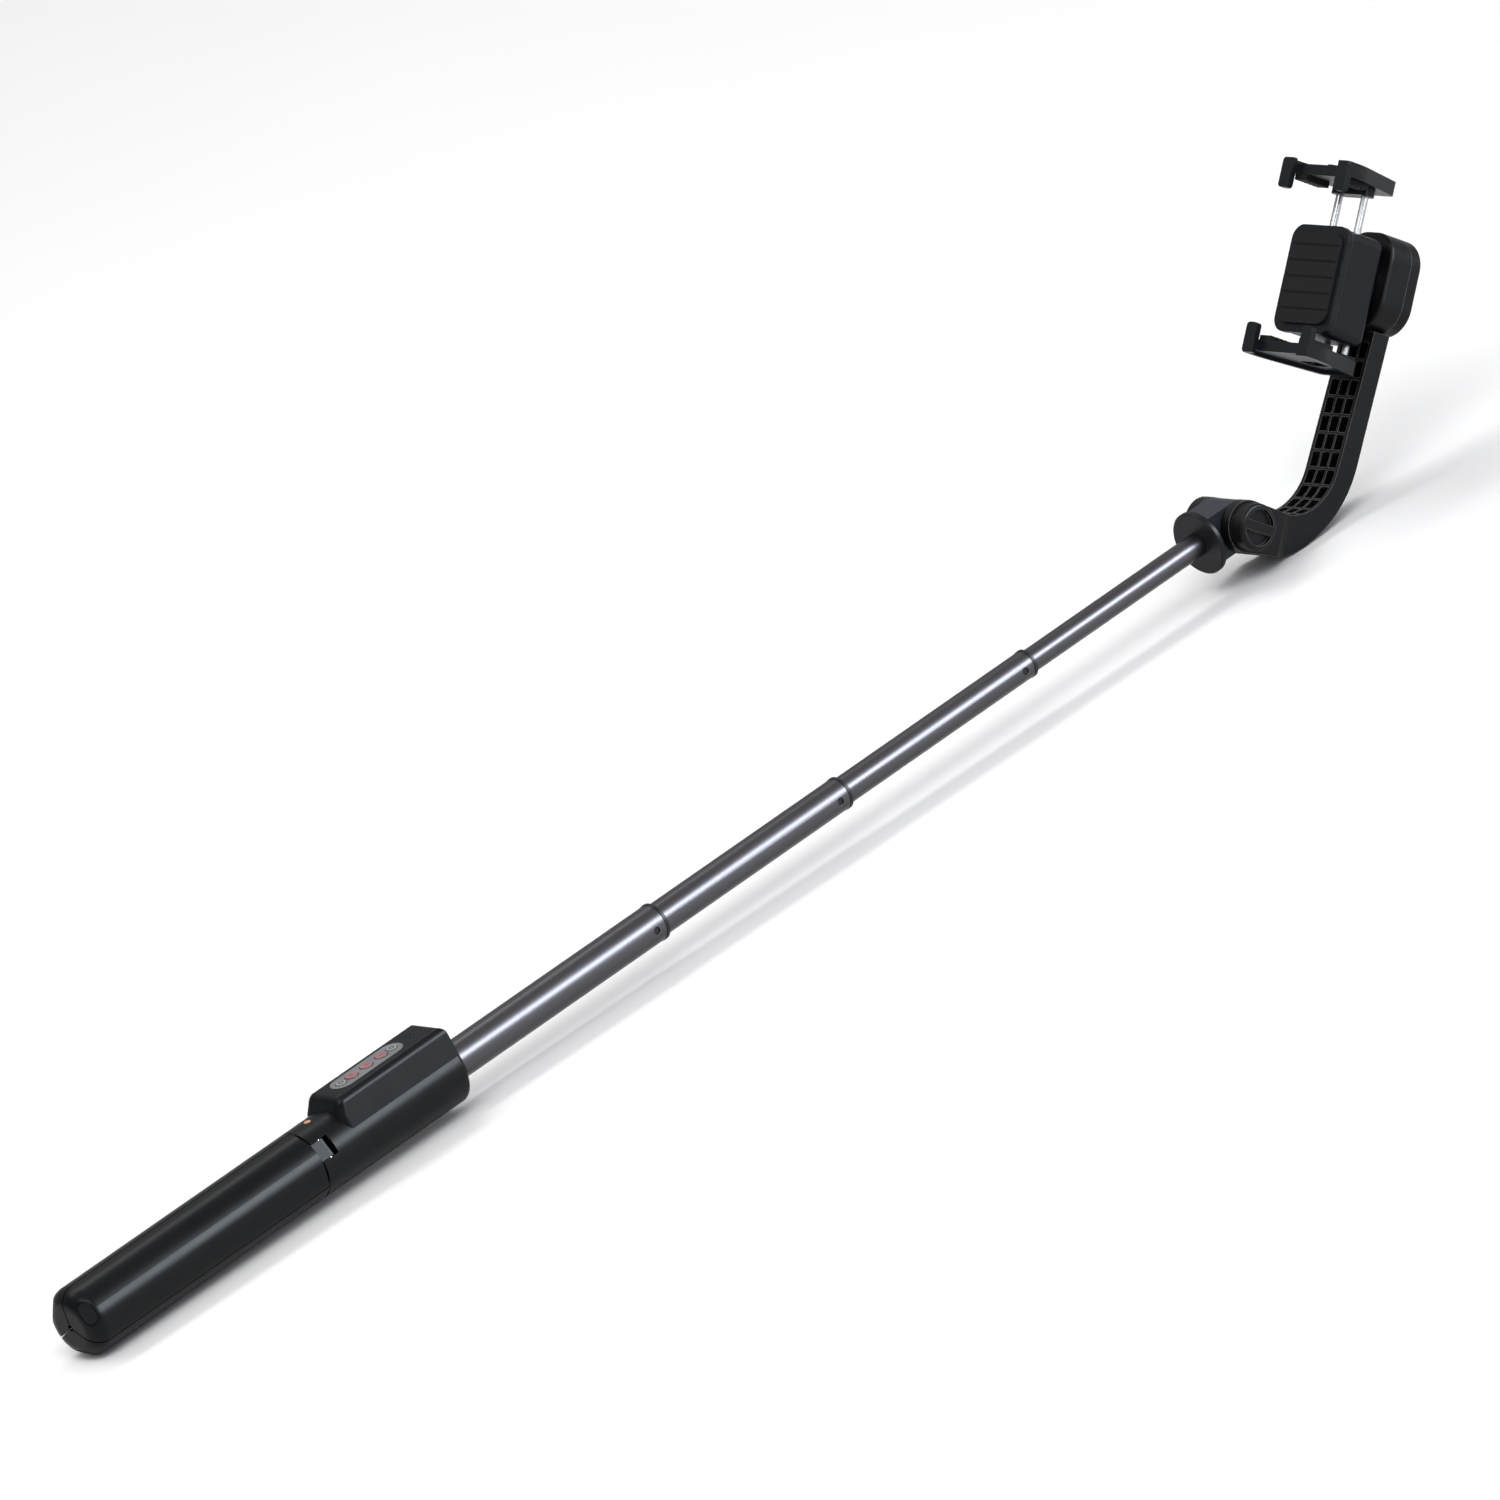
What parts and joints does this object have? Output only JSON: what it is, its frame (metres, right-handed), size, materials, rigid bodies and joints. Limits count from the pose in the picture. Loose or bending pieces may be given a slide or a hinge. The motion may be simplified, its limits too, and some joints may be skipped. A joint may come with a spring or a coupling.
{
  "type": "selfie stick",
  "caption": "Telescopic selfie stick with fold-out tripod legs forming its grip, a control bump, and a tilting, rolling arm that ends in a sprung phone clamp.",
  "frame": {"origin": "on the pole's axis, where the grip's straight wall starts, just above its rounded lower end", "axes": "the stick lies on its back: +X along the pole towards the phone clamp, +Z towards the side with the buttons, -Y towards the side with the thumb knob"},
  "size_m": [0.9084, 0.045, 0.1542],
  "materials": {
    "grip_plastic": "semi gloss black",
    "housing_plastic": "semi gloss black",
    "bezel_plastic": "satin black",
    "button_plastic": "satin grey",
    "key_plastic": "black key with a red mark",
    "light_window": "amber, translucent",
    "foot_rubber": "matt",
    "board": "printed circuit board",
    "battery": "foil",
    "tube_metal": "gunmetal, anodised",
    "bush_plastic": "satin black",
    "head_plastic": "dark grey",
    "block_plastic": "grey",
    "arm_plastic": "fine matt texture",
    "clamp_plastic": "slate, fine matt texture",
    "pad_rubber": "ribbed",
    "steel": "bright",
    "copper": "enamelled copper windings"
  },
  "bodies": {
    "handle": {"handle_housing": "housing_plastic", "status_light": "light_window", "control_bezel": "bezel_plastic", "button_switches": "bush_plastic", "button_board": "board", "handle_battery": "battery", "pole_sleeve": "tube_metal", "pole_collar": "bush_plastic", "leg_hinge_pins": "steel"},
    "pole_1": {"tube_1": "tube_metal", "mouth_bush_1": "bush_plastic", "foot_bush_1": "bush_plastic"},
    "pole_2": {"tube_2": "tube_metal", "mouth_bush_2": "bush_plastic", "foot_bush_2": "bush_plastic"},
    "pole_3": {"tube_3": "tube_metal", "mouth_bush_3": "bush_plastic", "foot_bush_3": "bush_plastic"},
    "pole_4": {"tube_4": "tube_metal", "foot_bush_4": "bush_plastic", "head_disc": "head_plastic", "head_screw": "steel", "hinge_block": "block_plastic"},
    "arm": {"gimbal_arm": "arm_plastic", "tilt_bolt": "steel", "friction_washers": "bush_plastic", "motor_case": "arm_plastic", "motor_cover": "arm_plastic", "case_screws": "steel", "charge_port": "steel", "gimbal_board": "board", "gimbal_battery": "battery", "motor_stator": "copper", "roll_bearings": "steel"},
    "tilt_knob": {"tilt_knob": "arm_plastic", "knob_nut": "steel"},
    "power_button": {"power_button": "button_plastic"},
    "clamp": {"clamp_base": "clamp_plastic", "lower_jaw": "clamp_plastic", "jaw_rods": "steel", "lower_jaw_pad": "pad_rubber", "back_pad": "pad_rubber", "roll_shaft": "steel", "motor_rotor": "steel", "clamp_springs": "steel"},
    "upper_jaw": {"upper_jaw": "clamp_plastic", "upper_jaw_pad": "pad_rubber", "guide_rods": "steel"},
    "leg_right": {"leg_right": "grip_plastic", "foot_right": "foot_rubber"},
    "leg_left": {"leg_left": "grip_plastic", "foot_left": "foot_rubber"},
    "leg_rear": {"leg_rear": "grip_plastic", "foot_rear": "foot_rubber"},
    "end_button_low": {"end_button_low": "button_plastic"},
    "key_low": {"key_low": "key_plastic"},
    "key_middle": {"key_middle": "key_plastic"},
    "key_high": {"key_high": "key_plastic"},
    "end_button_high": {"end_button_high": "button_plastic"}
  },
  "joints": [
    {"name": "leg_right_hinge", "type": "hinge", "parent": "handle", "child": "leg_right", "pos_m": [0.1435, -0.0116, 0.0067], "axis": [0, 0.5, 0.866], "range_deg": [0, 65]},
    {"name": "leg_left_hinge", "type": "hinge", "parent": "handle", "child": "leg_left", "pos_m": [0.1435, 0.0116, 0.0067], "axis": [0, 0.5, -0.866], "range_deg": [0, 65]},
    {"name": "leg_rear_hinge", "type": "hinge", "parent": "handle", "child": "leg_rear", "pos_m": [0.1435, 0, -0.0134], "axis": [0, -1, 0], "range_deg": [0, 65]},
    {"name": "pole_slide_1", "type": "slide", "parent": "handle", "child": "pole_1", "axis": [1, 0, 0], "range_m": [-0.1345, 0]},
    {"name": "pole_slide_2", "type": "slide", "parent": "pole_1", "child": "pole_2", "axis": [1, 0, 0], "range_m": [-0.12, 0]},
    {"name": "pole_slide_3", "type": "slide", "parent": "pole_2", "child": "pole_3", "axis": [1, 0, 0], "range_m": [-0.123, 0]},
    {"name": "pole_slide_4", "type": "slide", "parent": "pole_3", "child": "pole_4", "axis": [1, 0, 0], "range_m": [-0.115, 0]},
    {"name": "arm_tilt", "type": "hinge", "parent": "pole_4", "child": "arm", "pos_m": [0.74765, 0, 0], "axis": [0, 1, 0], "range_deg": [-90, 60]},
    {"name": "knob_turn", "type": "hinge", "parent": "arm", "child": "tilt_knob", "pos_m": [0.74765, -0.019, 0], "axis": [0, 1, 0], "range_deg": [0, 270]},
    {"name": "gimbal_roll", "type": "hinge", "parent": "arm", "child": "clamp", "pos_m": [0.87069, 0, 0.06327], "axis": [0.7478, 0, -0.6639], "range_deg": [-135, 135]},
    {"name": "jaw_slide", "type": "slide", "parent": "clamp", "child": "upper_jaw", "axis": [0.6639, 0, 0.7478], "range_m": [-0.014, 0.016]},
    {"name": "power_press", "type": "slide", "parent": "arm", "child": "power_button", "axis": [-0.7478, 0, 0.6639], "range_m": [0, 0.0004], "stiffness_N_per_m": 400},
    {"name": "end_button_low_press", "type": "slide", "parent": "handle", "child": "end_button_low", "axis": [0, 0, -1], "range_m": [0, 0.0004], "stiffness_N_per_m": 400},
    {"name": "key_low_press", "type": "slide", "parent": "handle", "child": "key_low", "axis": [0, 0, -1], "range_m": [0, 0.0004], "stiffness_N_per_m": 400},
    {"name": "key_middle_press", "type": "slide", "parent": "handle", "child": "key_middle", "axis": [0, 0, -1], "range_m": [0, 0.0004], "stiffness_N_per_m": 400},
    {"name": "key_high_press", "type": "slide", "parent": "handle", "child": "key_high", "axis": [0, 0, -1], "range_m": [0, 0.0004], "stiffness_N_per_m": 400},
    {"name": "end_button_high_press", "type": "slide", "parent": "handle", "child": "end_button_high", "axis": [0, 0, -1], "range_m": [0, 0.0004], "stiffness_N_per_m": 400}
  ]
}
